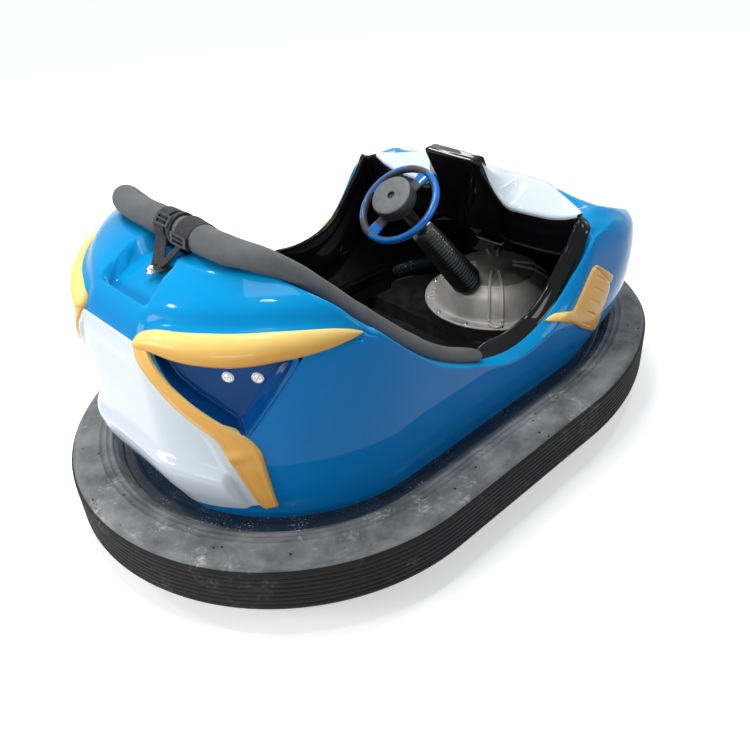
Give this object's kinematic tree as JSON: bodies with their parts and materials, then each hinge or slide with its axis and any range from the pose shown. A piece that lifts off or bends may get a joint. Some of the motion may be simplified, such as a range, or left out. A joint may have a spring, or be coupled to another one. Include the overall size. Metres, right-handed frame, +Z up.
{
  "type": "bumper car",
  "caption": "Fairground bumper car: oval rubber bumper ring, glossy hollow cockpit body, padded roll, steering wheel linked to a steered drive wheel, two rear wheels",
  "frame": {"origin": "centre of the bounding box at ground level", "axes": "+X forward along the car, +Y left, +Z up"},
  "size_m": [1.9192, 1.232, 0.895],
  "materials": {
    "tyre_rubber": "matte black tyre rubber, scuffed",
    "black_steel": "black paint on steel",
    "blue_shell": "high gloss azure blue gelcoat",
    "black_gloss": "gloss black gelcoat",
    "white_shell": "gloss white gelcoat",
    "yellow_trim": "satin golden yellow paint",
    "dark_blue": "gloss deep blue gelcoat",
    "lamp_clear": "clear lamp lens",
    "black_foam": "matte grey-black foam sleeve",
    "seat_vinyl": "black vinyl",
    "webbing": "black webbing",
    "bright_steel": "bright steel",
    "cast_alloy": "weathered cast aluminium",
    "motor_iron": "painted cast iron",
    "wheel_iron": "cast iron",
    "bellows_rubber": "matte black rubber",
    "hub_plastic": "matte dark grey plastic",
    "blue_inlay": "gloss blue plastic",
    "pedal_steel": "black plate with a worn bright edge"
  },
  "bodies": {
    "chassis": {"belt_anchor": "bright_steel", "belts": "webbing", "body_shell": "blue_shell", "brow_left": "yellow_trim", "brow_right": "yellow_trim", "bumper_rim": "black_steel", "bumper_tyre": "tyre_rubber", "cockpit_liner": "black_gloss", "column_bellows": "bellows_rubber", "column_tube": "black_steel", "cross_beam_front": "black_steel", "cross_beam_mid": "black_steel", "dash_console": "black_gloss", "drive_dome": "cast_alloy", "drive_ring": "black_steel", "eye_left": "dark_blue", "eye_right": "dark_blue", "floor_pan": "black_steel", "gill_left": "yellow_trim", "gill_right": "yellow_trim", "head_lamps": "lamp_clear", "hood_bands": "white_shell", "hood_hump": "white_shell", "padded_roll": "black_foam", "pedal": "pedal_steel", "pedal_box": "black_steel", "rear_axle_beam": "black_steel", "rear_bracket_left": "black_steel", "rear_bracket_right": "black_steel", "rear_panel": "white_shell", "seat_backrest": "seat_vinyl", "seat_base": "black_gloss", "seat_cushion": "seat_vinyl", "side_rail_left": "black_steel", "side_rail_right": "black_steel", "tail_lamps": "lamp_clear", "well_tray": "black_steel"},
    "steering_wheel": {"steering_shaft": "bright_steel", "steering_hub": "hub_plastic", "steering_rim": "hub_plastic", "steering_spokes": "blue_inlay"},
    "drive_yoke": {"drive_yoke": "black_steel", "motor": "motor_iron"},
    "front_wheel": {"front_tyre": "tyre_rubber", "front_hub": "wheel_iron"},
    "rear_wheel_right": {"rear_tyre_right": "tyre_rubber", "rear_hub_right": "wheel_iron"},
    "rear_wheel_left": {"rear_tyre_left": "tyre_rubber", "rear_hub_left": "wheel_iron"}
  },
  "joints": [
    {"name": "drive_steer", "type": "hinge", "parent": "chassis", "child": "drive_yoke", "pos_m": [0.53339, 0, 0.3], "axis": [0, 0, 1], "continuous": true},
    {"name": "steering_turn", "type": "hinge", "parent": "chassis", "child": "steering_wheel", "pos_m": [0.09739, 0, 0.677], "axis": [-0.6293, 0, 0.7771], "continuous": true},
    {"name": "front_wheel_spin", "type": "hinge", "parent": "drive_yoke", "child": "front_wheel", "pos_m": [0.53339, 0, 0.11], "axis": [0, 1, 0], "continuous": true},
    {"name": "rear_wheel_right_spin", "type": "hinge", "parent": "chassis", "child": "rear_wheel_right", "pos_m": [-0.48461, -0.35, 0.07], "axis": [0, 1, 0], "continuous": true},
    {"name": "rear_wheel_left_spin", "type": "hinge", "parent": "chassis", "child": "rear_wheel_left", "pos_m": [-0.48461, 0.35, 0.07], "axis": [0, 1, 0], "continuous": true}
  ],
  "couplings": [
    {"joint": "steering_turn", "follows": "drive_steer", "ratio": 1}
  ]
}
